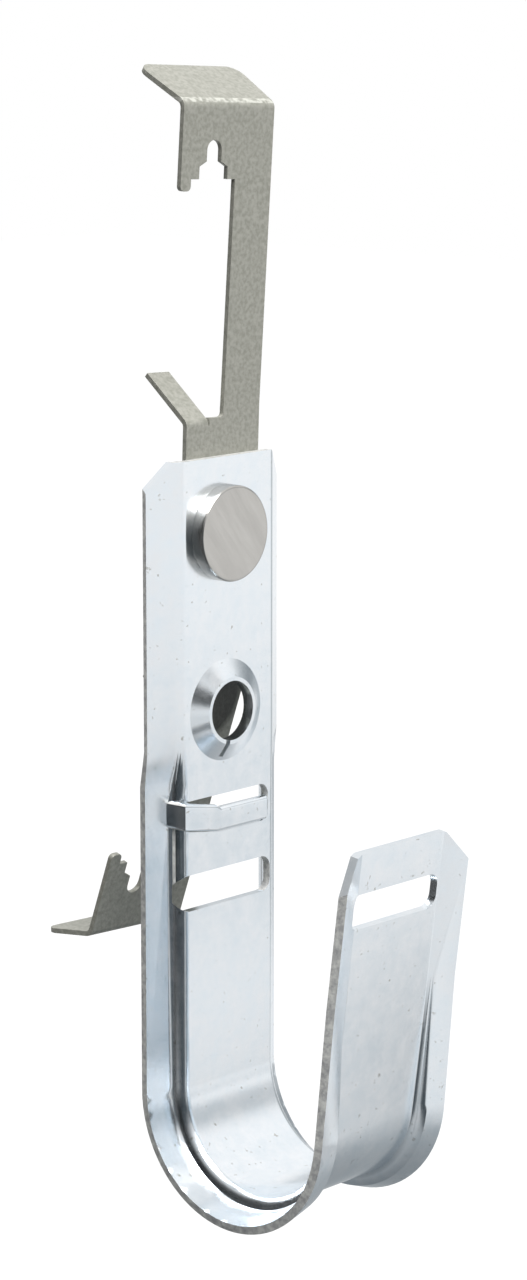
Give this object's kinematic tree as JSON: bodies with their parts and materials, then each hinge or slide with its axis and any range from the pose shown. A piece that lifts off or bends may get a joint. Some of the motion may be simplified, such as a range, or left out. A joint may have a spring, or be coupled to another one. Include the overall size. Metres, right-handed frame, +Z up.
{
  "type": "j hook cable support",
  "caption": "Steel J-hook that carries a bundle of cables in its open loop, with a spring wing clip riveted behind it for a hanging wire or rod.",
  "frame": {"origin": "centre of the screw hole, on the cable side of the back wall", "axes": "+X along the hook's width, -Y out of the screw hole towards the cables and the arm, +Z up the back wall"},
  "size_m": [0.0196, 0.0418, 0.117],
  "materials": {
    "zinc_steel": "bright zinc plate, satin",
    "spring_steel": "matt grey corrosion coat on spring steel",
    "rivet_steel": "plated steel, flat polished head"
  },
  "bodies": {
    "root": {"j_hook": "zinc_steel", "wing_clip": "spring_steel", "rivet": "rivet_steel"}
  },
  "joints": []
}
